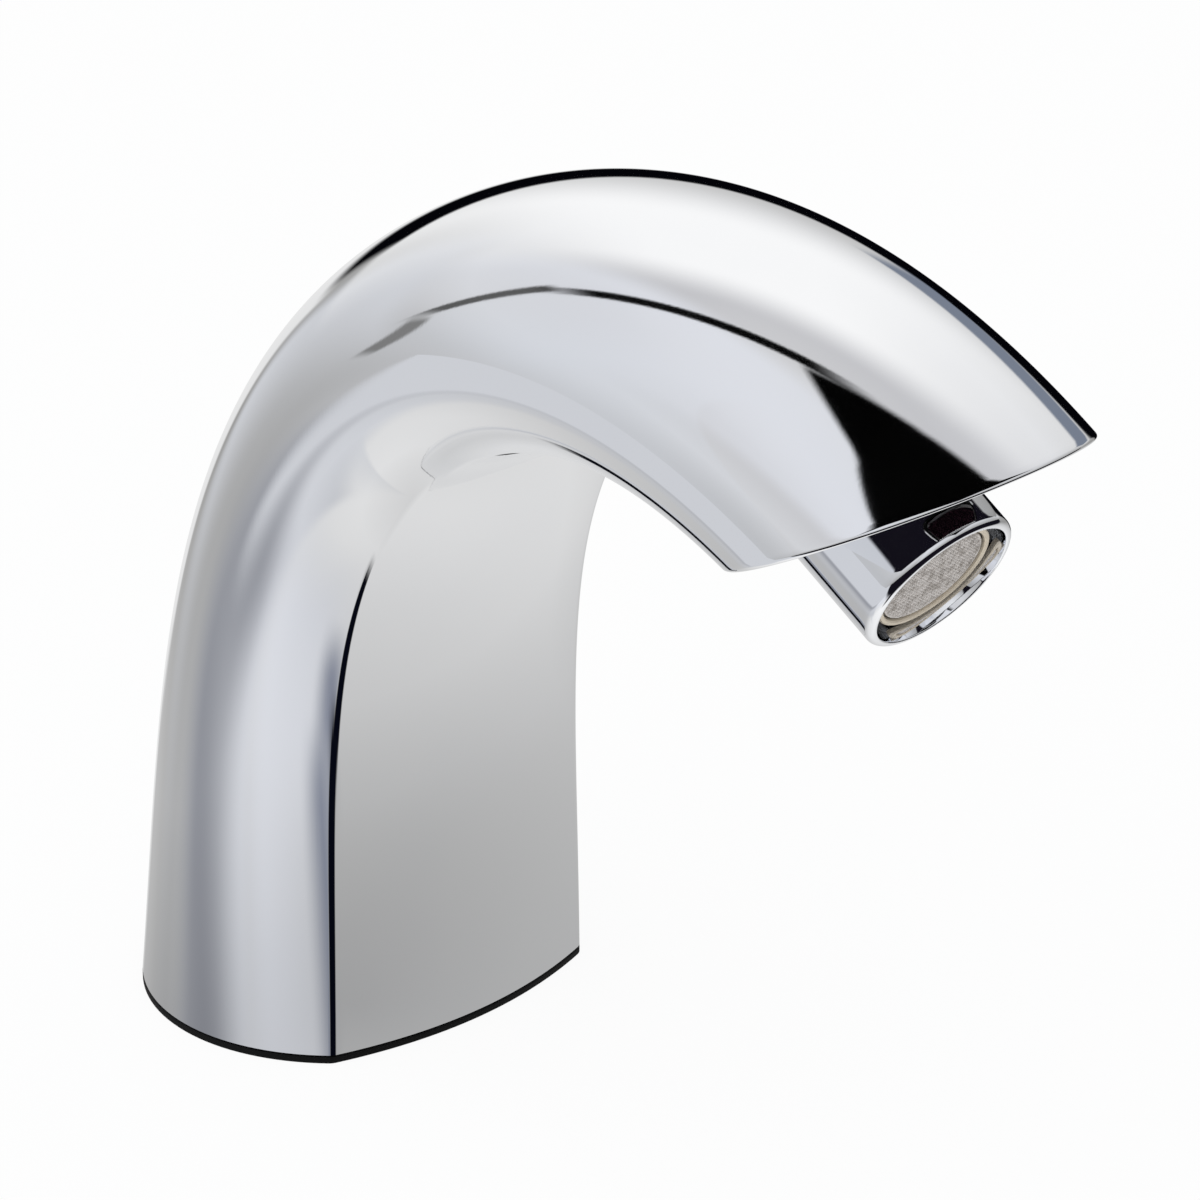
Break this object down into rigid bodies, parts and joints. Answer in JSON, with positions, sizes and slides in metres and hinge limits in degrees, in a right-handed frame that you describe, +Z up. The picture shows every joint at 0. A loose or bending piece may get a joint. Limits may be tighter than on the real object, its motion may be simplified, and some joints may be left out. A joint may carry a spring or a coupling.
{
  "type": "deck-mounted sensor tap",
  "caption": "Arched chromed tap body with an angled outlet and aerator, an infrared sensor in its end face, and a solenoid valve, waterway and control unit inside.",
  "frame": {"origin": "centre of the worktop hole in the plane of the worktop, midway between the two fixing stud holes", "axes": "+X points where the water goes, +Z up, +Y across the spout"},
  "size_m": [0.1587, 0.0664, 0.1389],
  "materials": {
    "body_chrome": "polished",
    "outlet_chrome": "polished",
    "black_rubber": "matte",
    "zinc_plate": "die cast",
    "screw_steel": "satin",
    "valve_brass": "machined",
    "mesh_steel": "woven",
    "white_plastic": "moulded",
    "coil_copper": "wound",
    "red_plastic": "moulded",
    "tube_copper": "drawn",
    "black_plastic": "moulded",
    "ring_brass": "turned",
    "green_plastic": "moulded",
    "window_plastic": "polished",
    "clear_plastic": "polished",
    "board_green": "lacquered",
    "cable_black": "sheath"
  },
  "bodies": {
    "tap_body": {"spout_body": "body_chrome", "base_gasket": "black_rubber", "base_plate": "zinc_plate", "base_screws": "screw_steel", "cable_gland": "black_rubber", "valve_block": "valve_brass", "block_screws": "screw_steel", "inlet_strainer": "mesh_steel", "channel_plug": "valve_brass", "diaphragm_membrane": "black_rubber", "valve_bonnet": "screw_steel", "bonnet_screws": "screw_steel", "plunger_spring": "screw_steel", "pole_core": "screw_steel", "solenoid_nut": "screw_steel", "coil_bobbin": "white_plastic", "coil_winding": "coil_copper", "coil_yoke": "screw_steel", "coil_terminals": "valve_brass", "coil_leads": "red_plastic", "riser_tube": "tube_copper", "riser_nut": "valve_brass", "riser_o_ring": "black_rubber", "outlet_nozzle": "outlet_chrome", "nozzle_o_ring": "black_rubber", "tube_o_ring": "black_rubber", "sensor_window": "window_plastic", "window_seal": "black_rubber", "sensor_housing": "black_plastic", "ir_emitter": "clear_plastic", "ir_receiver": "window_plastic", "sensor_board": "board_green", "sensor_lead": "cable_black", "lead_clips": "white_plastic", "control_case": "black_plastic", "control_lid": "black_plastic", "control_board": "board_green", "control_screws": "screw_steel"},
    "plunger": {"solenoid_plunger": "screw_steel", "plunger_pad": "black_rubber"},
    "diaphragm": {"diaphragm_core": "white_plastic"},
    "aerator_seal": {"aerator_washer": "black_rubber"},
    "aerator": {"aerator_housing": "black_plastic", "aerator_ring": "ring_brass", "aerator_screen": "mesh_steel", "rear_screen": "mesh_steel", "flow_regulator": "green_plastic"}
  },
  "joints": [
    {"name": "plunger_lift", "type": "slide", "parent": "tap_body", "child": "plunger", "axis": [0, 0, 1], "range_m": [0, 0.0015], "stiffness_N_per_m": 300, "springref_m": -0.004, "deforming": ["plunger_spring"]},
    {"name": "diaphragm_lift", "type": "slide", "parent": "tap_body", "child": "diaphragm", "axis": [0, 0, 1], "range_m": [0, 0.0012]},
    {"name": "aerator_slide", "type": "slide", "parent": "tap_body", "child": "aerator_seal", "axis": [0.866, 0, -0.5], "range_m": [0, 0.004]},
    {"name": "aerator_turn", "type": "hinge", "parent": "aerator_seal", "child": "aerator", "pos_m": [0.1183, 0, 0.0996], "axis": [0.866, 0, -0.5], "range_deg": [0, 1440]}
  ],
  "couplings": [
    {"joint": "diaphragm_lift", "follows": "plunger_lift", "ratio": 0.8},
    {"joint": "aerator_slide", "follows": "aerator_turn", "m_per_rad": 0.000159}
  ]
}
